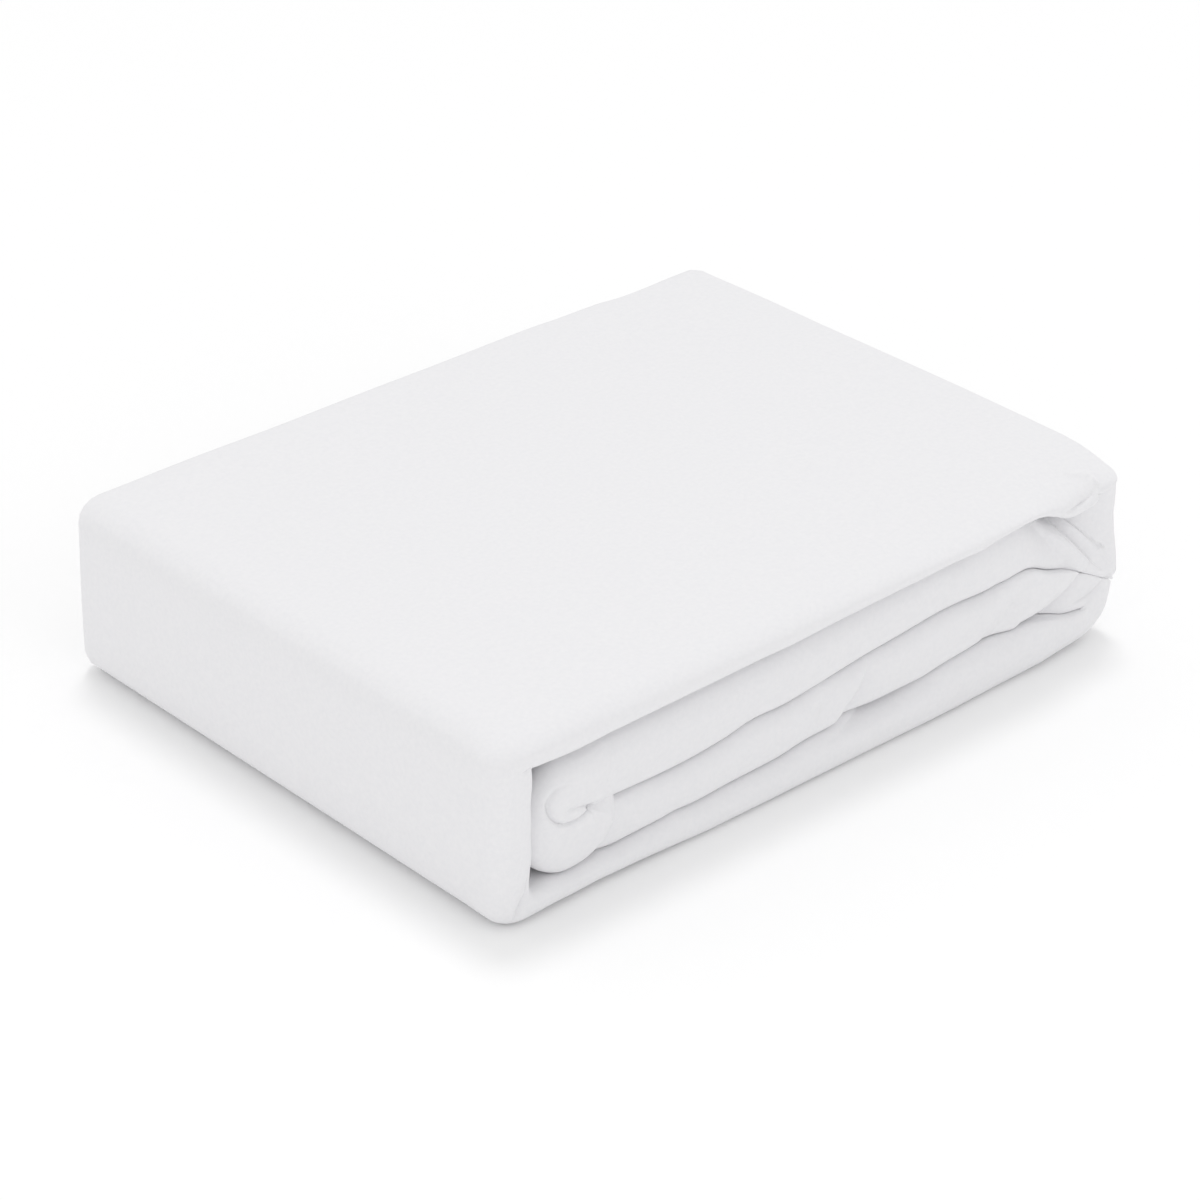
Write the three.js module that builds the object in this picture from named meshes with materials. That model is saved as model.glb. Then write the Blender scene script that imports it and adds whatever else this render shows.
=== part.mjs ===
// A mattress protector of white brushed cotton, folded up for the shelf. It is one sewn cloth. Its long
// sides are folded over and over into a flat strip, and the strip is then folded so that it wraps its own
// two ends: one turned down inside the left end, the other lying below it.
// Millimetres. X runs along the pack, Y from the open front to the back, and Z up. The origin is in the
// middle of the base.
import * as THREE from "three";

// The folded pack
const LENGTH = 358;
const WIDTH = 280;
const HEIGHT = 85;
const BACK_SAG = 1.8; // the top lies this much lower at the back

// The strip, a cloth folded flat on itself
const LAYERS = 8;
const CLOTH = 1.9;
const STRIP = 19.2;
const PITCH = (STRIP - CLOTH) / (LAYERS - 1);
const HEM_FROM_BACK = 14; // the outermost layer stops this far from the back, on the inner side
const TIGHTEST = 1.2; // smallest radius of a face of the cloth where the strip turns

// Heights of the middle of the strip's four passes, one above the other
const BOTTOM_PASS = STRIP / 2;
const LOWER_PASS = 31.3;
const UPPER_PASS = 51.7;
const TOP_PASS = HEIGHT - STRIP / 2;

// Lengthwise places of the middle of the strip
const LEFT_WRAP = STRIP / 2;
const TURNED_END = 29.3;
const RIGHT_FOLD = LENGTH - STRIP / 2;

// The strip's way round, seen from the front: a row for each end and corner, and for places between them
// where its long edges are drawn in more or less. It gives the radius of the outer face, how far both long
// edges are drawn in, and the steps that the run before it is cut into.
const WAY = [
  { x: 58.5, z: LOWER_PASS, radius: 0, drawnIn: 6, steps: 0 },
  { x: TURNED_END, z: LOWER_PASS, radius: 17, drawnIn: 4, steps: 1 },
  { x: TURNED_END, z: UPPER_PASS, radius: 16, drawnIn: 4, steps: 1 },
  { x: 100, z: UPPER_PASS, radius: 0, drawnIn: 8, steps: 2 },
  { x: 300, z: UPPER_PASS, radius: 0, drawnIn: 7, steps: 5 },
  { x: RIGHT_FOLD, z: UPPER_PASS, radius: 3, drawnIn: 3, steps: 2 },
  { x: RIGHT_FOLD, z: TOP_PASS, radius: 5, drawnIn: 1, steps: 1 },
  { x: LEFT_WRAP, z: TOP_PASS, radius: 14, drawnIn: 0, steps: 6 },
  { x: LEFT_WRAP, z: BOTTOM_PASS, radius: 15, drawnIn: 0, steps: 1 },
  { x: RIGHT_FOLD, z: BOTTOM_PASS, radius: 17, drawnIn: 3, steps: 7 },
  { x: RIGHT_FOLD, z: LOWER_PASS, radius: 3, drawnIn: 3, steps: 1 },
  { x: 300, z: LOWER_PASS, radius: 0, drawnIn: 6, steps: 2 },
  { x: 62.5, z: LOWER_PASS, radius: 0, drawnIn: 8, steps: 6 },
];
const TURN_STEPS = 4; // chords round each quarter turn of the way
const FOLD_STEPS = [6, 4, 4, 3, 3, 2, 2]; // chords round each long fold, from the outermost

// Where the passes really meet along the pack, as heights of the three seams between them
const SEAMS = [
  { x: 0, lower: 13.5, middle: 33, upper: 66 },
  { x: 60, lower: 12.8, middle: 34, upper: 65.5 },
  { x: 100, lower: 14.5, middle: 33.3, upper: 66.5 },
  { x: 140, lower: 15.5, middle: 37.4, upper: 67.5 },
  { x: 200, lower: 20, middle: 42.4, upper: 70.5 },
  { x: 260, lower: 23, middle: 47, upper: 72 },
  { x: 305, lower: 23.3, middle: 48, upper: 73.5 },
  { x: 332, lower: 18.5, middle: 38.5, upper: 71.5 },
  { x: LENGTH, lower: 16.5, middle: 26.5, upper: 71 },
];

// The two ends inside lie aslant where they meet
const END_SLANT = 6.5; // how far the lower pass leans over, each way
const END_MEETING = 60.5;
const END_REACH = 45; // the lean fades out over this length

// One face of the cloth across the strip, as [y, height in the strip] points; side is 1 outside, -1 inside
function clothFace(side) {
  const out = (side * CLOTH) / 2;
  const backFolds = WIDTH - STRIP / 2 + PITCH / 2;
  const face = [[WIDTH - HEM_FROM_BACK, CLOTH / 2 - out]];
  FOLD_STEPS.forEach((steps, fold) => {
    const front = fold % 2 === 0;
    const y = front ? STRIP / 2 : backFolds;
    const height = front ? STRIP / 2 : STRIP / 2 + PITCH / 2;
    const radius = ((LAYERS - 1 - fold) / 2) * PITCH + out;
    const way = front ? -radius : radius;
    for (let step = 0; step <= steps; step++) {
      const angle = (Math.PI * step) / steps;
      face.push([y + way * Math.sin(angle), height + way * Math.cos(angle)]);
    }
  });
  face.push([backFolds - PITCH, STRIP / 2 + PITCH / 2 + out]);
  return face;
}

// Direction of the way from each row to the next
const HEADING = WAY.slice(1).map((next, k) => {
  const run = new THREE.Vector2(next.x - WAY[k].x, next.z - WAY[k].z);
  return run.normalize();
});

// A point on the way's corner, for one height in the strip and an angle from 0 to a right angle.
// Height 0 lies on the left of the way, and the full height on its right.
function onCorner(k, height, angle) {
  const into = HEADING[Math.max(k - 1, 0)];
  const out = HEADING[Math.min(k, HEADING.length - 1)];
  const turn = into.cross(out);
  const right = turn === 0 ? into : into.clone().add(out);
  const aside = height - STRIP / 2;
  const fromOutside = turn > 0 ? STRIP - height : height;
  const radius = turn === 0 ? 0 : Math.max(WAY[k].radius - fromOutside, TIGHTEST);
  const along = radius * (Math.sin(angle) - 1);
  const across = radius * (1 - Math.cos(angle));
  return [
    WAY[k].x + right.y * aside + into.x * along + out.x * across,
    WAY[k].z - right.x * aside + into.y * along + out.y * across,
  ];
}

const mix = (a, b, share) => a + (b - a) * share;

// The stations along the way: each gives a point for a height in the strip, and how far it is drawn in
function wayStations() {
  const stations = [];
  WAY.forEach((row, k) => {
    for (let step = 1; step < row.steps; step++) {
      const share = step / row.steps;
      stations.push({
        drawnIn: mix(WAY[k - 1].drawnIn, row.drawnIn, share),
        point: (height) => {
          const from = onCorner(k - 1, height, Math.PI / 2);
          const to = onCorner(k, height, 0);
          return [mix(from[0], to[0], share), mix(from[1], to[1], share)];
        },
      });
    }
    const steps = row.radius > 0 ? TURN_STEPS : 0;
    for (let step = 0; step <= steps; step++) {
      const angle = steps > 0 ? ((Math.PI / 2) * step) / steps : 0;
      stations.push({ drawnIn: row.drawnIn, point: (height) => onCorner(k, height, angle) });
    }
  });
  return stations;
}

// A column of a table at x, on a smooth curve through its rows
function columnAt(rows, column, x) {
  const last = rows.length - 2;
  const found = rows.findIndex((row, k) => k > 0 && x <= row.x);
  const k = found < 0 ? last : found - 1;
  const slope = (a, b) => (rows[b][column] - rows[a][column]) / (rows[b].x - rows[a].x);
  const width = rows[k + 1].x - rows[k].x;
  const t = THREE.MathUtils.clamp((x - rows[k].x) / width, 0, 1);
  const start = slope(Math.max(k - 1, 0), k + 1) * width;
  const end = slope(k, Math.min(k + 2, last + 1)) * width;
  const from = rows[k][column];
  const to = rows[k + 1][column];
  const bend = (to - from) * (3 - 2 * t) * t * t;
  return from + bend + start * t * (1 - t) * (1 - t) - end * t * t * (1 - t);
}

const EVEN_SEAMS = [
  (BOTTOM_PASS + LOWER_PASS) / 2,
  (LOWER_PASS + UPPER_PASS) / 2,
  (UPPER_PASS + TOP_PASS) / 2,
];

// From the evenly folded strip to the uneven pack: ends leant, seams moved, long edges drawn in, back lowered
function settle(x, y, z, drawnIn) {
  const near = Math.max(1 - Math.abs(x - END_MEETING) / END_REACH, 0);
  const lean = THREE.MathUtils.clamp((z - LOWER_PASS) / (STRIP / 2), -1, 1);
  const leantX = x + END_SLANT * lean * THREE.MathUtils.smoothstep(near, 0, 1);
  const even = [0, ...EVEN_SEAMS, HEIGHT];
  const real = [
    0,
    columnAt(SEAMS, "lower", leantX),
    columnAt(SEAMS, "middle", leantX),
    columnAt(SEAMS, "upper", leantX),
    HEIGHT,
  ];
  const band = Math.max(even.findIndex((seam, k) => k > 0 && z <= seam), 1);
  const share = (z - even[band - 1]) / (even[band] - even[band - 1]);
  const realY = y * (1 - (2 * drawnIn) / WIDTH) + drawnIn;
  const realZ = mix(real[band - 1], real[band], share);
  const sunk = BACK_SAG * (realY / WIDTH) * (realZ / HEIGHT);
  return [leantX - LENGTH / 2, realY - WIDTH / 2, realZ - sunk];
}

// The whole cloth: its section across the strip, carried along the way and closed at both ends
function clothGeometry() {
  const outside = clothFace(1);
  const inside = clothFace(-1);
  const section = [...outside, ...inside.toReversed()];
  const stations = wayStations();
  const positions = [];
  const faces = [];
  for (const station of stations) {
    for (const [y, height] of section) {
      const [x, z] = station.point(height);
      positions.push(...settle(x, y, z, station.drawnIn));
    }
  }
  const ring = section.length;
  for (let s = 0; s + 1 < stations.length; s++) {
    for (let p = 0; p < ring; p++) {
      const a = s * ring + p;
      const b = s * ring + ((p + 1) % ring);
      faces.push(a, b, a + ring, b, b + ring, a + ring);
    }
  }
  const endCap = (first, turned) => {
    for (let p = 0; p + 1 < outside.length; p++) {
      const corners = [first + p, first + p + 1, first + ring - 2 - p, first + ring - 1 - p];
      const [a, b, c, d] = turned ? corners.toReversed() : corners;
      faces.push(a, c, b, a, d, c);
    }
  };
  endCap(0, false);
  endCap((stations.length - 1) * ring, true);
  const geometry = new THREE.BufferGeometry();
  geometry.setAttribute("position", new THREE.Float32BufferAttribute(positions, 3));
  geometry.setIndex(faces);
  geometry.computeVertexNormals();
  return geometry;
}

const brushedCotton = new THREE.MeshStandardMaterial({
  color: new THREE.Color(0.93, 0.93, 0.94),
  roughness: 0.95,
  metalness: 0,
});

const protector = new THREE.Mesh(clothGeometry(), brushedCotton);
protector.name = "protector_cloth";

const pack = new THREE.Group();
pack.add(protector);

export default pack;
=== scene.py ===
# %% [markdown]
# # A folded mattress protector
# The object is one cloth of white brushed cotton, folded up for the shelf. Its long sides are folded over and
# over into a flat strip of eight layers, and the strip then wraps its own two ends: top, left end and base are
# one smooth wrap, and two more passes of the strip lie inside it. This file folds the same cloth at the scale
# of its creases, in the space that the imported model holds.
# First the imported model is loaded. It gives the size of the pack, so nothing here is measured twice.

# %% Load the frame
import math

import bmesh
import bpy
import numpy as np
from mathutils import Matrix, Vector


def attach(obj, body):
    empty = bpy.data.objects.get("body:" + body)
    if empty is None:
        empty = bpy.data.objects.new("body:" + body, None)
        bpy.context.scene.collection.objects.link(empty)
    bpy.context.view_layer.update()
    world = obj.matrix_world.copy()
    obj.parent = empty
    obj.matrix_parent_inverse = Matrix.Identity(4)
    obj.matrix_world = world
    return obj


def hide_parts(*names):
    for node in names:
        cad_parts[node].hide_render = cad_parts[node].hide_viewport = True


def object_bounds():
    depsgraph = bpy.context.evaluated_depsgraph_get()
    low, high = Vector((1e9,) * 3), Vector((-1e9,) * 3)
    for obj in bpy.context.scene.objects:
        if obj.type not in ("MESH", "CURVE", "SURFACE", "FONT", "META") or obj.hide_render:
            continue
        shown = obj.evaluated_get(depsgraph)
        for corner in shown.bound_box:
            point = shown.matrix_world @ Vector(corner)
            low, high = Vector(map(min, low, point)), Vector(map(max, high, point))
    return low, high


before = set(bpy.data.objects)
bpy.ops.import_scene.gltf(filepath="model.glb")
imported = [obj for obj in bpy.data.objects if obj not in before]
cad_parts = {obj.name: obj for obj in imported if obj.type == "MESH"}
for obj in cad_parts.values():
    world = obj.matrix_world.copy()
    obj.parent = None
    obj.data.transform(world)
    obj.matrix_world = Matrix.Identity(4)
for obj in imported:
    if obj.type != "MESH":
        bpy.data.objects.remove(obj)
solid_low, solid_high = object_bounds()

LENGTH, WIDTH, HEIGHT = (solid_high - solid_low)
print(f"the pack is {LENGTH:.3f} x {WIDTH:.3f} x {HEIGHT:.3f} m")

# %% [markdown]
# ## The cloth and the strip
# A sheet can be modelled in two ways: it can be draped by a simulation, or it can be laid out flat and folded
# by a formula. A tight pack of many layers would take a simulation very long, and its folds would land where
# they like. So the cloth is laid out flat here, and each of its points is then carried to its folded place.
# These are the sizes of the strip, in metres.

# %% Sizes of the strip
MM = 0.001
LAYERS = 8
CLOTH = 1.9 * MM
STRIP = 19.2 * MM
PITCH = (STRIP - CLOTH) / (LAYERS - 1)
HEM_FROM_BACK = 14 * MM
print(f"{LAYERS} layers, {PITCH / MM:.2f} mm from each to the next")

# %% [markdown]
# ## Folding across
# Seen from its end, the strip is a flat coil: a layer runs to the front, turns over in a round fold, runs to
# the back, turns again a little tighter, and so on to the middle. A point of the flat cloth is found on that
# coil by its distance from the hem. The coil is stored as a fine line of points with their outward directions,
# and numpy interpolates along it.

# %% The coil across the strip
FOLD_POINTS = 33  # along each half turn


def coil_line():
    """The middle of the cloth across the strip: distance from the hem, y, height, and the outward direction."""
    rows = [(WIDTH - HEM_FROM_BACK, CLOTH / 2, 0.0, -1.0)]
    for fold in range(LAYERS - 1):
        way = -1 if fold % 2 == 0 else 1
        radius = (LAYERS - 1 - fold) / 2 * PITCH
        y = STRIP / 2 if way < 0 else WIDTH - STRIP / 2 + PITCH / 2
        height = STRIP / 2 if way < 0 else STRIP / 2 + PITCH / 2
        for angle in np.linspace(0, math.pi, FOLD_POINTS):
            out = (way * math.sin(angle), way * math.cos(angle))
            rows.append((y + radius * out[0], height + radius * out[1], *out))
    rows.append((WIDTH - STRIP / 2 - PITCH / 2, STRIP / 2 + PITCH / 2, 0.0, 1.0))
    line = np.array(rows)
    steps = np.hypot(np.diff(line[:, 0]), np.diff(line[:, 1]))
    return np.concatenate([[0], np.cumsum(steps)]), line


coil_distance, coil = coil_line()
CLOTH_ACROSS = coil_distance[-1]
OUTER_FOLD = coil_distance[FOLD_POINTS]  # where the front fold of the outermost layer ends
print(f"the cloth measures {CLOTH_ACROSS:.2f} m across")


def across(distance, off):
    """y and height in the strip, for distances from the hem and distances off the middle of the cloth."""
    y, height, out_y, out_height = (np.interp(distance, coil_distance, coil[:, k]) for k in range(4))
    return y + out_y * off, height + out_height * off


# %% [markdown]
# ## Folding along
# Seen from the open front, the strip goes round. Both of its faces are drawn as a line with rounded corners,
# and a layer between them lies on the straight line from one face to the other. The rows below follow the
# strip from its end in the rolled curl, through the upper pass, over the top, down the left end, under the
# base and back into the lower pass. Left and right are the strip's faces, for one who walks along it with the
# open front in view: the right face is the outer one of the whole wrap. The heights are those of an evenly
# packed strip. Each row also says how far the front fold is drawn in, how square it is on both sides, where 2 is
# round and 4 nearly square, and how much of that rounding is taken back, where 1 leaves it flat. So the curl
# makes one face with its heart, and the two passes that meet at the right end are nearly flush.

# %% The strip's way round
# the faces of the four passes as heights, the right end's two faces, and the curl's two faces, in millimetres
PASS = STRIP / MM
BASE = (0, PASS)
LOWER = (19.4, 40.8)
UPPER = (41.0, 60.5)
TOP = (HEIGHT / MM - PASS, HEIGHT / MM)
RIGHT = (LENGTH / MM - 18.9, LENGTH / MM + 0.3)
CURL = 19.8
HEART = 51.5
CLOSER = 0.07  # the two passes beside the middle seam come this much closer to it at the right end

WAY = np.array([
    # left x, z, right x, z, left and right radius, drawn in, left and right squareness, right and left flat
    (71, 42.8, HEART + 0.3, 42.4, 0, 0, 10, 3, 2, 1, 0),
    (67.3, 35, HEART + 0.1, 41.4, 0, 0, 6, 4, 2, 1, 0),
    (62.5, LOWER[0], HEART, 40.5, 16, 0.1, 5, 4, 2, 1, 0),
    (CURL, LOWER[0], HEART - 0.3, 40.6, 18, 0.1, 5, 4, 2, 1, 0),
    (CURL, UPPER[1] - 1.5, HEART - 0.3, UPPER[0], 21, 0.1, 5.5, 2.2, 2, 1, 0),
    (55, UPPER[1], 55, UPPER[0], 0, 0, 6, 2, 5, 0.3, 0),
    (66, UPPER[1], 66, UPPER[0], 0, 0, 8, 2, 5, 0, 0),
    (285, UPPER[1], 285, UPPER[0], 0, 0, 9, 2, 5, 0, 0),
    (305, UPPER[1], 305, UPPER[0], 0, 0, 8, 2, 5, 0.6, 0),
    (RIGHT[0], UPPER[1], RIGHT[1], UPPER[0] - CLOSER, 1.2, 2, 5.5, 2.5, 3, 0.95, 0),
    (RIGHT[0], TOP[0], RIGHT[1], TOP[1], 1.2, 5, 1.5, 3, 2, 0, 0),
    (300, TOP[0], 300, TOP[1], 0, 0, 0, 3.2, 2, 0, 0),
    (60, TOP[0], 60, TOP[1], 0, 0, 0, 3.2, 2, 0, 0),
    (PASS, TOP[0], 0, TOP[1], 0.3, 12.5, 0, 5, 2, 0, 0),
    (PASS, BASE[1], 0, BASE[0], 1.2, 14.5, 0, 3, 2, 0, 0),
    (55, BASE[1], 55, BASE[0], 0, 0, 2.5, 2.2, 3, 0, 0),
    (115, BASE[1], 115, BASE[0], 0, 0, 1.3, 2.2, 3, 0, 0),
    (255, BASE[1], 255, BASE[0], 0, 0, 1.2, 2.2, 3, 0, 0),
    (285, BASE[1], 285, BASE[0], 0, 0, 2.3, 2.2, 3, 0, 0),
    (310, BASE[1], 310, BASE[0], 0, 0, 2.3, 2.2, 3, 0, 0.5),
    (RIGHT[0] - 1, BASE[1], RIGHT[1] - 1, BASE[0], 1.2, 21, 5, 2.5, 2, 0, 0.8),
    (RIGHT[0] - 2, LOWER[0], RIGHT[1] - 2, LOWER[1] + CLOSER, 1.2, 3, 6.5, 4, 3, 0.95, 0.8),
    (305, LOWER[0], 305, LOWER[1], 0, 0, 6, 5, 3.2, 0.7, 0.6),
    (285, LOWER[0], 285, LOWER[1], 0, 0, 6, 5, 3, 0, 0),
    (90, LOWER[0], 90, LOWER[1], 0, 0, 5.5, 5, 2.5, 0, 0),
    (56, LOWER[0], 67, LOWER[1], 0, 0, 8, 4, 2.5, 0, 0),
])
TURN_POINTS = 25


def rounded(k, x_column, radius_column):
    """The points of one face round corner k of the way, or the one point of a straight place."""
    here, before, after = (WAY[i, x_column:x_column + 2] for i in (k, max(k - 1, 0), min(k + 1, len(WAY) - 1)))
    radius = WAY[k, radius_column]
    if radius == 0:
        return here[None, :]
    into, out = ((b - a) / np.linalg.norm(b - a) for a, b in ((before, here), (here, after)))
    angle = np.linspace(0, math.pi / 2, TURN_POINTS)[:, None]
    return here + radius * ((np.sin(angle) - 1) * into + (1 - np.cos(angle)) * out)


def way_line():
    """The way as a fine line in metres, the distance along it, and where on it the turns begin and end."""
    rows, turns = [], []
    for k in range(len(WAY)):
        left, right = rounded(k, 0, 4), rounded(k, 2, 5)
        turns.append((len(rows), len(rows) + len(left) - 1))
        rows += [(*a, *b) for a, b in zip(left, right)]
    line = np.array(rows) * MM
    step = np.diff(line, axis=0)
    lengths = (np.hypot(step[:, 0], step[:, 1]) + np.hypot(step[:, 2], step[:, 3])) / 2
    distance = np.concatenate([[0], np.cumsum(lengths)])
    turns = [(distance[a], distance[b]) for a, b in turns]
    middles = [(a + b) / 2 for a, b in turns]
    drawn_in, *shape = (np.interp(distance, middles, WAY[:, k]) for k in range(6, 11))
    return distance, np.column_stack([line, drawn_in * MM, *shape]), turns


way_distance, way, turns = way_line()

# %% [markdown]
# ## From an even pack to this one
# So far all four passes are equally thick. In the real pack they are not: the lower pass rises and the upper
# one thins out towards the right end, where both pairs of passes turn round. The table below gives the height
# of the three seams between the passes along the pack. A smooth curve runs through its rows.

# %% Where the passes meet
SEAMS = [np.array(seam) * MM for seam in (
    # x and height of the lower seam, in millimetres
    [(0, 13.5), (30, 12.3), (41, 10.6), (54, 11.6), (65, 10.9), (76, 12.2), (86, 13.4), (97, 14.5), (108, 14),
     (126, 14.9), (156, 15.9), (168, 17.6), (183, 18.3), (198, 19.8), (211, 20), (226, 20.6), (239, 20.8),
     (249, 22.2), (266, 23.3), (284, 22.8), (294, 22.3), (305, 22.9), (321, 19.8), (328, 17.9), (340, 17.5),
     (357, 17)],
    # the middle seam
    [(0, 33), (30, 34.5), (50, 35.5), (60, 33.7), (83, 32.5), (104, 32.5), (127, 34.5), (142, 37.2), (160, 37.2),
     (168, 37.8), (183, 39.6), (198, 41.5), (210, 42.9), (224, 44), (238, 45.4), (250, 46.5), (264, 46.6),
     (277, 45.9), (290, 46.7), (305, 48), (317, 43.2), (329, 39.3), (337, 35.8), (357, 26)],
    # the upper seam
    [(0, 66.1), (13, 67.2), (23, 66.8), (32, 66), (41, 65.6), (60, 65.9), (100, 66.9), (125, 67.6), (140, 68.1),
     (155, 68.1), (175, 69.5), (200, 70.9), (215, 71.6), (235, 72.6), (250, 73.6), (264, 73.3), (275, 75.6),
     (290, 77.7), (298, 78), (305, 75.8), (313, 71), (323, 65.5), (335, 65.8), (345, 69), (357, 72)],
)]
EVEN_SEAMS = [(BASE[1] + LOWER[0]) / 2 * MM, (LOWER[1] + UPPER[0]) / 2 * MM, (UPPER[1] + TOP[0]) / 2 * MM]


def seam_height(x, seam):
    """The height of a seam at x, on a smooth curve through its places."""
    xs, values = seam.T
    slopes = np.diff(values) / np.diff(xs)
    tangents = np.concatenate([slopes[:1], (slopes[:-1] + slopes[1:]) / 2, slopes[-1:]])
    k = np.clip(np.searchsorted(xs, x) - 1, 0, len(xs) - 2)
    width = xs[k + 1] - xs[k]
    t = np.clip((x - xs[k]) / width, 0, 1)
    rise = values[k + 1] - values[k]
    return (values[k] + rise * (3 - 2 * t) * t**2
            + tangents[k] * width * t * (1 - t)**2 - tangents[k + 1] * width * t**2 * (1 - t))


def settle(x, z):
    """z with the seams moved from their even heights to their real ones."""
    real = [np.zeros_like(x), *(seam_height(x, seam) for seam in SEAMS), np.full_like(x, HEIGHT)]
    even = np.array([0.0, *EVEN_SEAMS, HEIGHT])
    band = np.clip(np.searchsorted(even, z) - 1, 0, 3)
    low = np.choose(band, real[:4])
    high = np.choose(band, real[1:])
    return low + (z - even[band]) / (even[band + 1] - even[band]) * (high - low)


# %% [markdown]
# ## Creases
# The creases are listed one by one. Each is a line on the front of the pack, drawn through a few places, and the
# cloth sinks in along it. A fold that ends at the line rounds off towards it, like a roll. A cloth that comes out
# from under such a fold is deepest at the line and rises slowly away from it. The depth is given at each place,
# so a crease can fade out.

# %% Creases
CREASES = [
    # first the lowest and the highest pass that a crease marks, where 0 is the base and 3 the top; then for the
    # left and right of the line: the radius of a roll, or minus the length over which the lower cloth rises; then
    # how blunt the bottom of the crease is; then x, z and depth at each place, all in millimetres; on top of the
    # pack, z goes on as the way towards the back
    ("seam that winds into the curl", (1, 2), (2, 2), 0.3,
     [(63, 35, 0), (57, 36, 1), (52.7, 35.9, 2.2), (48, 34.4, 2.4), (43.9, 33.6, 2.4), (37.8, 34.4, 2.4),
      (32.8, 38.2, 2.4), (30.3, 43.5, 2), (31.3, 48.2, 1.5), (35.8, 51.4, 0.8), (43.2, 51.5, 0)]),
    ("inner end of that seam", (1, 2), (2, -2), 0.2,
     [(52, 36.8, 1), (47.9, 38.1, 1.5), (41.1, 39.7, 1), (37.7, 38.5, 0)]),
    ("pleat in the lower pass", (1, 1), (-8, 2), 0.2,
     [(208, 42, 1), (202.5, 33, 3.8), (195.5, 26.5, 5), (189.5, 20, 4)]),
    ("gap below that pleat", (0, 0), (-30, 4.5), 0.8,
     [(176, 14.8, 0), (188, 16, 1.5), (198, 17.2, 5), (207, 18.2, 8), (218, 18.8, 7.5), (231, 19.6, 4),
      (246, 20.3, 0)]),
    ("soft edge of that pleat", (1, 1), (-5, -6), 2,
     [(184, 42, 1.5), (182.3, 37, 2.6), (180, 31, 2.4), (176.4, 24.5, 0.5)]),
    ("dimple in the middle seam", (1, 1), (4, 4), 0.2, [(157, 41.5, 0), (161, 39, 2), (164, 36.5, 0)]),
    ("first roll of the right corner", (3, 3), (6, -9), 1.5,
     [(340.5, 81, 0), (339, 79.5, 1.5), (336, 77.5, 3.3), (329, 75.2, 4), (322, 74.5, 2.5), (312, 75.5, 0)]),
    ("second roll of the right corner", (2, 3), (-8, 7), 0.8,
     [(352.5, 77.5, 0), (351.7, 75.5, 1.5), (350, 72.7, 3), (346.5, 69.5, 6), (341, 66.8, 8.5),
      (334, 65.2, 8.5), (325, 65.3, 4)]),
    ("soft fold under the lip", (2, 2), (-7, -8), 1.5,
     [(303, 78, 3), (306.5, 70.5, 5), (317.5, 57.5, 6), (329, 44, 3.5)]),
    ("long fold to the pinch", (2, 2), (-10, 8), 0.6,
     [(311, 75, 5), (320, 69, 7.5), (329.3, 60.2, 8.5), (342.5, 45, 6.5), (348, 36.3, 3), (351, 32, 0.5)]),
    ("short fold to the pinch", (2, 2), (-10, 8), 0.6,
     [(327, 68.3, 5), (334, 65, 7.5), (340, 60.9, 7.5), (345.8, 53.3, 5), (349, 47, 2), (350.5, 43, 0)]),
    ("pinch of the right end", (1, 2), (5, 5), 0.2, [(345, 31, 0), (351, 28.5, 1), (359, 27, 2)]),
    ("pleat of the right end", (1, 1), (-7, 6), 0.6,
     [(341, 37, 1), (337.5, 34.2, 4), (331.5, 30.6, 6), (324.5, 27, 7.5), (314, 24, 7.5), (301, 22.3, 5)]),
    ("soft pleat of the right end", (1, 1), (-6, -7), 1.5,
     [(306.5, 43.5, 0.5), (301, 40.6, 2), (293, 34.7, 3.5), (287, 28, 4), (279, 24.5, 3)]),
    ("end of the lower seam", (0, 1), (3, -6), 0.2,
     [(352, 27, 1), (349, 25, 2), (345, 22.4, 2.4), (337.7, 21.3, 1.5), (328, 20.8, 0)]),
    ("left edge over the base", (0, 0), (-4, 2), 0.2,
     [(14.6, 22, 1), (13.6, 16.3, 3), (11, 12.8, 3.2), (9, 8.6, 2), (8, 5, 0)]),
    ("lip over the left edge", (3, 3), (2.5, 2.5), 0.2, [(11, 71.5, 0), (15, 71, 1), (18.5, 70.8, 1.4)]),
]


def fade(value, full, gone):
    """1 up to full, 0 from gone on, smooth between them."""
    t = np.clip((value - full) / (gone - full), 0, 1)
    return 1 - t * t * (3 - 2 * t)


CREASE_STEP = 0.5  # millimetres from each place of a crease's fine line to the next


def crease_lines():
    """Each crease as a fine smooth line: widths, places, directions, depths, passes and bluntness, in metres."""
    lines = []
    for _, passes, widths, blunt, places in CREASES:
        given = np.array(places, dtype=float)
        run = np.concatenate([[0], np.cumsum(np.hypot(*np.diff(given[:, :2], axis=0).T))])
        count = max(int(run[-1] / CREASE_STEP), 8)
        at = np.linspace(0, run[-1], count)
        padded = np.vstack([2 * given[0] - given[1], given, 2 * given[-1] - given[-2]])
        k = np.clip(np.searchsorted(run, at, side="right") - 1, 0, len(given) - 2)
        t = ((at - run[k]) / (run[k + 1] - run[k]))[:, None]
        a, b, c, d = (padded[k + i] for i in range(4))
        smooth = 0.5 * (2 * b + (c - a) * t + (2 * a - 5 * b + 4 * c - d) * t**2 + (3 * b - a - 3 * c + d) * t**3)
        direction = np.gradient(smooth[:, :2], axis=0)
        direction /= np.linalg.norm(direction, axis=1)[:, None]
        depth = np.maximum(np.interp(at, run, given[:, 2]), 0)
        lines.append((np.array(widths) * MM, smooth[:, :2] * MM, direction, depth * MM, passes, blunt * MM))
    return lines


crease_list = crease_lines()


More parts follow.
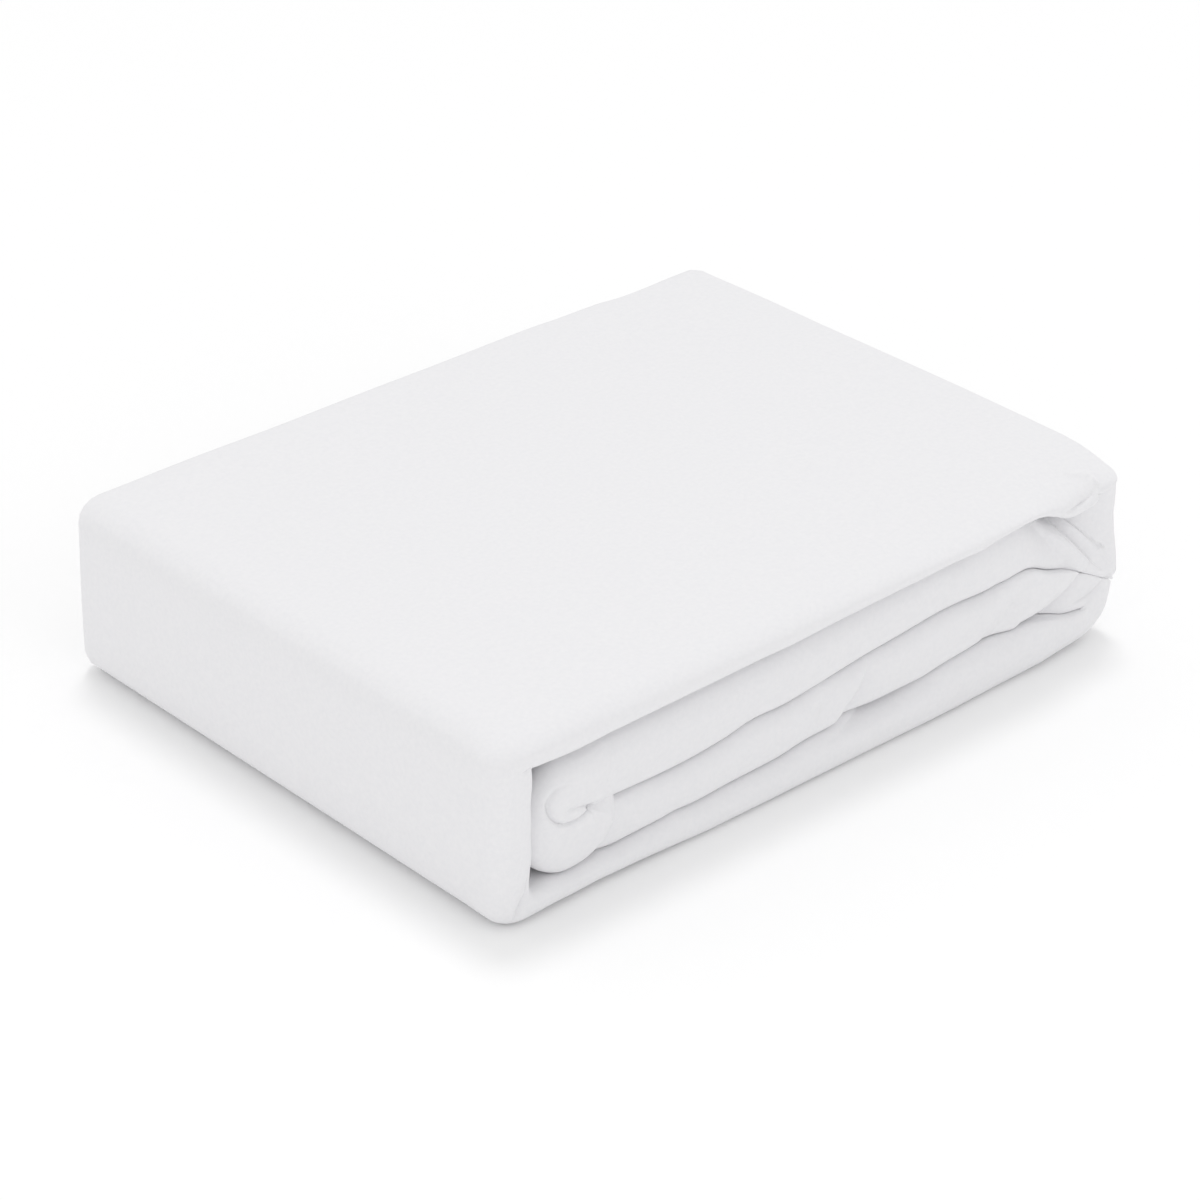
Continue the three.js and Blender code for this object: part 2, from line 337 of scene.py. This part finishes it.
def nearest_on(places, directions, points):
    """The nearest place of a crease to each point: its index, the distance, and the side the point lies on."""
    gap = points[:, None, :] - places[None, :, :]
    square = (gap**2).sum(axis=2)
    k = square.argmin(axis=1)
    rows = np.arange(len(points))
    near, direction = gap[rows, k], directions[k]
    side = direction[:, 0] * near[:, 1] - direction[:, 1] * near[:, 0]
    return k, np.sqrt(square[rows, k]), side


def sink(points, band):
    """How far the creases push in the points, given as x and z, in the passes given as band."""
    total = np.zeros(len(points))
    x = points[:, 0]
    # where the strip turns round at either end, a crease marks every pass
    turning = np.maximum(fade(x, 18 * MM, 21 * MM), 1 - fade(x, LENGTH - 21 * MM, LENGTH - 15 * MM))
    for widths, places, directions, depths, passes, blunt in crease_list:
        reach = 4 * np.abs(widths).max()
        low, high = places.min(axis=0) - reach, places.max(axis=0) + reach
        inside = np.flatnonzero(((points > low) & (points < high)).all(axis=1))
        if len(inside) == 0:
            continue
        k, distance, side = nearest_on(places, directions, points[inside])
        width = np.where(side > 0, widths[0], widths[1])
        blunted = (np.hypot(distance, blunt) - blunt) / np.abs(width)
        part = np.clip(1 - blunted, 0, 1)
        rounded_off = 1 - np.sqrt(1 - part**2)
        rising = np.exp(-blunted)
        marked = (band[inside] >= passes[0]) & (band[inside] <= passes[1])
        profile = np.where(width > 0, rounded_off, rising)
        total[inside] += depths[k] * profile * np.maximum(marked, turning[inside])
    return total


def crease_distance(points):
    """The distance from points, given as x and z, to the nearest crease."""
    return np.min([nearest_on(crease[1], crease[2], points)[1] for crease in crease_list], axis=0)


print(f"{len(crease_list)} creases")

# %% [markdown]
# ## Folding the cloth
# A point of the flat cloth is carried to its place in steps: across the coil, along the way, and through the
# settling of the pack. Then come the sags and waves of the whole pack, and last the creases, which fade out
# behind the front.

# %% The folding itself
def waves(a, b, *rows):
    """A soft unevenness between about -1 and 1, from waves: wavelength in mm, direction and phase each."""
    total = 0
    for length, turned, phase in rows:
        run = a * math.cos(turned) + b * math.sin(turned)
        total = total + np.sin(2 * math.pi * run / (length * MM) + phase)
    return total / len(rows)


def uneven(x, y, z):
    """The points of the settled pack, moved by the sags and the waves of the whole pack."""
    # the edge of the left end wavers beside the open front
    edge = fade(np.abs(x - 17 * MM), 3 * MM, 9 * MM)
    x = x + 0.5 * MM * edge * waves(z, z, (31, 0, 1), (17, 0, 3), (53, 0, 0))
    # the pack gets lower towards the back, more so at the left end
    z = z - (2.2 * MM - 1.2 * MM * x / LENGTH) * (y / WIDTH) * (z / HEIGHT)
    # the top falls towards its front edge and its right front corner, and it isn't quite flat
    high = 1 - fade(z, HEIGHT - 16 * MM, HEIGHT)
    z = z - 1.8 * MM * high * fade(y, 0, 30 * MM)
    corner = high * fade(y, 5 * MM, 40 * MM) * (1 - fade(x, LENGTH - 14 * MM, LENGTH))
    x, z = x - 2.2 * MM * corner, z - 1.5 * MM * corner
    z = z - 0.5 * MM * high * waves(x, y, (97, 0.4, 0), (71, 1.3, 2), (143, -0.7, 4), (53, 2.2, 1))
    # the left end isn't quite flat either
    left_end = fade(x, 2 * MM, 22 * MM) * fade(np.abs(z - HEIGHT / 2), 20 * MM, 40 * MM)
    x = x + 0.45 * MM * left_end * waves(y, z, (83, 0.3, 1), (47, 1.2, 3), (120, -0.5, 2), (38, 0.9, 5))
    # the right end droops near the front, and the top dips at the back
    droop = (1 - fade(x, LENGTH - 30 * MM, LENGTH)) * fade(y, 10 * MM, 80 * MM)
    dip = fade(np.abs(x - 300 * MM), 5 * MM, 45 * MM) * (1 - fade(y, 150 * MM, 260 * MM))
    z = z - (droop + 1.5 * dip) * MM * (z / HEIGHT)
    # the top of the left end leans in towards the back
    x = x + 1.5 * MM * (1 - fade(z, 35 * MM, 70 * MM)) * fade(x, 2 * MM, 60 * MM) * (y / WIDTH)
    # the front lifts off the floor a little beside both ends
    lifted = fade(np.abs(x - 55 * MM), 10 * MM, 60 * MM) + 1 - fade(x, LENGTH - 85 * MM, LENGTH - 20 * MM)
    z = z + 1.3 * MM * lifted * fade(z, 2 * MM, 14 * MM) * fade(y, 4 * MM, 24 * MM)
    return x, y, z


def packed(flat):
    """The place in the pack of points of the flat cloth, before the creases: x from the left end, y from the
    front, z from the floor, and the pass that they lie in."""
    along, distance, off = flat.T
    y, height = across(distance, off)
    left_x, left_z, right_x, right_z, drawn_in, left_square, right_square, right_flat, left_flat = (
        np.interp(along, way_distance, column) for column in way.T)
    share = height / STRIP
    x = left_x + (right_x - left_x) * share
    z = left_z + (right_z - left_z) * share
    # the round front fold is made as square and as flat as the way says, and drawn in
    bend = np.clip(2 * share - 1, -1, 1)
    square = np.where(bend < 0, left_square, right_square)
    front = 1 - (1 - np.abs(bend)**square)**(1 / square)
    front = front * (1 - np.where(bend < 0, left_flat, right_flat))
    y = y + STRIP / 2 * (front - (1 - np.sqrt(1 - bend**2))) * fade(y, 10 * MM, WIDTH / 2)
    y = y * (1 - 2 * drawn_in / WIDTH) + drawn_in
    # the inner layers lie further back, clear of the creases
    inner = 1 - fade(distance, OUTER_FOLD + 2 * MM, OUTER_FOLD + 20 * MM)
    y = y + 4 * MM * inner * fade(y, 12 * MM, 60 * MM)
    band = np.clip(np.searchsorted(np.array(EVEN_SEAMS), z), 0, 3)
    return np.column_stack([*uneven(x, y, settle(x, z)), band])


def unrolled(x, y, z):
    """x and z of points with the top turned up at its front edge: there z goes on as the way to the back."""
    over = (1 - fade(z, HEIGHT - 14 * MM, HEIGHT - 6 * MM)) * np.maximum(y - 8 * MM, 0)
    return np.column_stack([x, z + over])


CREASE_END = 60 * MM  # no crease reaches further from the front


def folded(flat):
    """The folded place of points of the flat cloth, in the frame."""
    x, y, z, band = packed(flat).T
    depth = np.zeros_like(x)
    near = np.flatnonzero(y < CREASE_END)
    depth[near] = sink(unrolled(x[near], y[near], z[near]), band[near]) * fade(y[near], 12 * MM, CREASE_END)
    # a crease pushes towards the back, at the right end also to the left, and on top also down
    turn = 1 - fade(x, LENGTH - 40 * MM, LENGTH)
    down = 1.3 * (1 - fade(z, HEIGHT - 14 * MM, HEIGHT - 2 * MM))
    push = depth / np.sqrt(turn**2 + 1 + down**2)
    return np.column_stack([x - push * turn - LENGTH / 2, y + push - WIDTH / 2, z - push * down])


# %% [markdown]
# ## The flat cloth
# The cloth is a thin slab of quads, cut where the folds will need it: short steps where it bends, long ones
# where it stays flat. The part that will face the open front is then subdivided, while it is still flat, and
# again along the creases, so that the steps there are fine enough for them.

# %% Lay the cloth out flat
LONGEST_STEP = 8 * MM
TURN_CUTS = 5  # round each turn of the way
FOLD_CUTS = (5, 5, 4, 3, 3, 2, 2)  # steps round each fold of the coil, from the outermost
CUTS_BEFORE = (5, 12, 30)  # millimetres before the outermost fold
CUTS_AFTER = (4, 9, 16, 28, 50, 90, 135, 180, 215, 240, 252)  # millimetres after it


def cuts_along():
    """Distances along the strip where the flat cloth is cut."""
    cuts = []
    for k, (start, end) in enumerate(turns):
        if k > 0:
            run = start - turns[k - 1][1]
            count = max(round(run / LONGEST_STEP), 1)
            cuts += list(turns[k - 1][1] + run * np.arange(1, count) / count)
        cuts += [start] if end == start else list(np.linspace(start, end, TURN_CUTS))
    return np.array(cuts)


def cuts_across():
    """Distances from the hem where the flat cloth is cut."""
    cuts = [0.0]
    for fold, steps in enumerate(FOLD_CUTS):
        start = 1 + fold * FOLD_POINTS
        cuts += list(coil_distance[start + np.linspace(0, FOLD_POINTS - 1, steps + 1).round().astype(int)])
    cuts.append(CLOTH_ACROSS)
    before, after = cuts[1], cuts[1 + FOLD_CUTS[0]]
    cuts += [before - step * MM for step in CUTS_BEFORE]
    cuts += [after + step * MM for step in CUTS_AFTER]
    return np.array(sorted(cuts))


def flat_cloth():
    """The cloth laid out flat, as a mesh: x along the strip, y across it, z through its thickness."""
    along, distance = cuts_along(), cuts_across()
    mesh = bmesh.new()
    sides = []
    for off in (CLOTH / 2, -CLOTH / 2):
        side = [[mesh.verts.new((a, d, off)) for d in distance] for a in along]
        for i in range(len(along) - 1):
            for j in range(len(distance) - 1):
                ring = [side[i][j], side[i + 1][j], side[i + 1][j + 1], side[i][j + 1]]
                mesh.faces.new(ring if off > 0 else ring[::-1])
        sides.append(side)
    upper, lower = sides
    for i in range(len(along) - 1):
        mesh.faces.new([upper[i + 1][0], upper[i][0], lower[i][0], lower[i + 1][0]])
        mesh.faces.new([upper[i][-1], upper[i + 1][-1], lower[i + 1][-1], lower[i][-1]])
    for j in range(len(distance) - 1):
        mesh.faces.new([upper[0][j], upper[0][j + 1], lower[0][j + 1], lower[0][j]])
        mesh.faces.new([upper[-1][j + 1], upper[-1][j], lower[-1][j], lower[-1][j + 1]])
    return mesh


cloth = flat_cloth()
print(f"flat cloth: {len(cloth.faces)} faces")


# %% Subdivide what will face the front
def refine(mesh, wanted, cuts):
    """Subdivides the faces of the outermost layer's outer side whose packed middles are wanted."""
    outer = [face for face in mesh.faces
             if face.calc_center_median().z > CLOTH * 0.4 and face.calc_center_median().y < OUTER_FOLD + 3 * MM]
    x, y, z, band = packed(np.array([face.calc_center_median() for face in outer])).T
    chosen = np.flatnonzero(wanted(x, y, z))
    edges = list({edge for k in chosen for edge in outer[k].edges})
    bmesh.ops.subdivide_edges(mesh, edges=edges, cuts=cuts, use_grid_fill=True)
    print(f"refined cloth: {len(mesh.faces)} faces")


def near_front(x, y, z):
    """Whether points face the open front, or lie on the right corner of the top."""
    return (y < 12 * MM) | ((y < 32 * MM) & (x > LENGTH - 45 * MM) & (z > HEIGHT - 30 * MM))


def near_creases(reach):
    """A test for points within that distance from a crease."""
    return lambda x, y, z: (y < 16 * MM) & (crease_distance(unrolled(x, y, z)) < reach)


refine(cloth, near_front, 3)
refine(cloth, near_creases(4.5 * MM), 1)
refine(cloth, near_creases(1.2 * MM), 1)

# %% [markdown]
# The folding carries the cloth over like a mirror, so its faces are turned over to point outward again.

# %% Fold it
flat = np.array([vert.co for vert in cloth.verts])
places = folded(flat)
for vert, place in zip(cloth.verts, places):
    vert.co = place
bmesh.ops.reverse_faces(cloth, faces=cloth.faces)
mesh = bpy.data.meshes.new("protector")
cloth.to_mesh(mesh)
cloth.free()
protector = bpy.data.objects.new("protector", mesh)
scene = bpy.context.scene
scene.collection.objects.link(protector)
for polygon in mesh.polygons:
    polygon.use_smooth = True
triangles = sum(len(polygon.vertices) - 2 for polygon in mesh.polygons)
print(f"folded cloth: {triangles} triangles")

# %% [markdown]
# ## The finish
# Brushed cotton is a soft matt white with a short nap. The nap scatters light at grazing angles, which the
# shader's sheen does, and it gives the surface a fine mottled grain. Two sizes of noise make that grain, as
# bumps and as a very small change of colour.

# %% Brushed cotton
material = bpy.data.materials.new("brushed_cotton")
material.use_nodes = True
nodes, links = material.node_tree.nodes, material.node_tree.links
shader = nodes["Principled BSDF"]
shader.inputs["Roughness"].default_value = 0.95
shader.inputs["Specular IOR Level"].default_value = 0.15
shader.inputs["Sheen Weight"].default_value = 0.2
shader.inputs["Sheen Roughness"].default_value = 0.6
place = nodes.new("ShaderNodeTexCoord").outputs["Object"]


def noise(scale, detail):
    """A noise pattern in the object's own space, with features of about 1 / scale metres."""
    node = nodes.new("ShaderNodeTexNoise")
    node.inputs["Scale"].default_value = scale
    node.inputs["Detail"].default_value = detail
    links.new(place, node.inputs["Vector"])
    return node.outputs["Fac"]


def bump(height, strength, distance, below=None):
    """A bump from a height pattern, on top of another one."""
    node = nodes.new("ShaderNodeBump")
    node.inputs["Strength"].default_value = strength
    node.inputs["Distance"].default_value = distance
    links.new(height, node.inputs["Height"])
    if below is not None:
        links.new(below, node.inputs["Normal"])
    return node.outputs["Normal"]


tufts = noise(500, 3)
grain = noise(1900, 2)
ramp = nodes.new("ShaderNodeValToRGB")
ramp.color_ramp.elements[0].position = 0.3
ramp.color_ramp.elements[0].color = (0.815, 0.812, 0.829, 1)
ramp.color_ramp.elements[1].position = 0.7
ramp.color_ramp.elements[1].color = (0.842, 0.837, 0.85, 1)
links.new(tufts, ramp.inputs["Fac"])
links.new(ramp.outputs["Color"], shader.inputs["Base Color"])
links.new(bump(grain, 0.15, 0.15 * MM, bump(tufts, 0.25, 0.3 * MM)), shader.inputs["Normal"])
mesh.materials.append(material)

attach(protector, "root")
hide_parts("protector_cloth")

# %% [markdown]
# ## Floor, light and camera
# The pack lies on a plain white floor under a soft white sky. A soft sun from behind and above makes the top
# the brightest side and leaves a narrow shadow on the floor in front. Two wide lights, low in front, fill the
# sides without reaching into the folds.

# %% Floor
bpy.ops.object.select_all(action="DESELECT")
bpy.ops.mesh.primitive_plane_add(size=8, location=(0, 0, 0))
floor = bpy.context.object
floor.name = "floor"
floor_material = bpy.data.materials.new("floor")
floor_material.use_nodes = True
floor_shader = floor_material.node_tree.nodes["Principled BSDF"]
floor_shader.inputs["Base Color"].default_value = (0.98, 0.98, 0.98, 1)
floor_shader.inputs["Roughness"].default_value = 1.0
floor.data.materials.append(floor_material)

# %% Light
world = bpy.data.worlds.new("studio")
scene.world = world
world.use_nodes = True
world.node_tree.nodes["Background"].inputs["Color"].default_value = (1, 1, 1, 1)
world.node_tree.nodes["Background"].inputs["Strength"].default_value = 0.84
scene.view_settings.view_transform = "Standard"


def direction(azimuth, elevation):
    """The unit vector to a place at that azimuth, counted from the front, and elevation."""
    return Vector((math.cos(elevation) * math.sin(azimuth), -math.cos(elevation) * math.cos(azimuth),
                   math.sin(elevation)))


LAMP_DISTANCE = 2


def light(name, kind, azimuth, elevation, power, size):
    """A light that shines on the pack from a direction; size is an angle for a sun and a width for an area."""
    lamp = bpy.data.objects.new(name, bpy.data.lights.new(name, kind))
    scene.collection.objects.link(lamp)
    toward = direction(math.radians(azimuth), math.radians(elevation))
    lamp.location = toward * LAMP_DISTANCE
    lamp.rotation_euler = toward.to_track_quat("Z", "Y").to_euler()
    lamp.data.energy = power
    if kind == "SUN":
        lamp.data.angle = size
    else:
        lamp.data.size = size


light("key", "SUN", 140, 72, 0.55, math.radians(16))
light("fill_left", "AREA", -85, 12, 1.5, 1.2)
light("fill_front", "AREA", 0, 30, 1.8, 1.2)

# %% Camera
AZIMUTH, ELEVATION = math.radians(-41.68), math.radians(29.27)
AIM = Vector((-20.8 * MM, -20.4 * MM, 42 * MM))
DISTANCE = 1.6915
back = direction(AZIMUTH, ELEVATION)
camera = bpy.data.objects.new("camera", bpy.data.cameras.new("camera"))
scene.collection.objects.link(camera)
camera.data.sensor_width = 36
camera.data.lens = 120
camera.location = AIM + back * DISTANCE
camera.rotation_euler = (-back).to_track_quat("-Z", "Y").to_euler()
scene.camera = camera
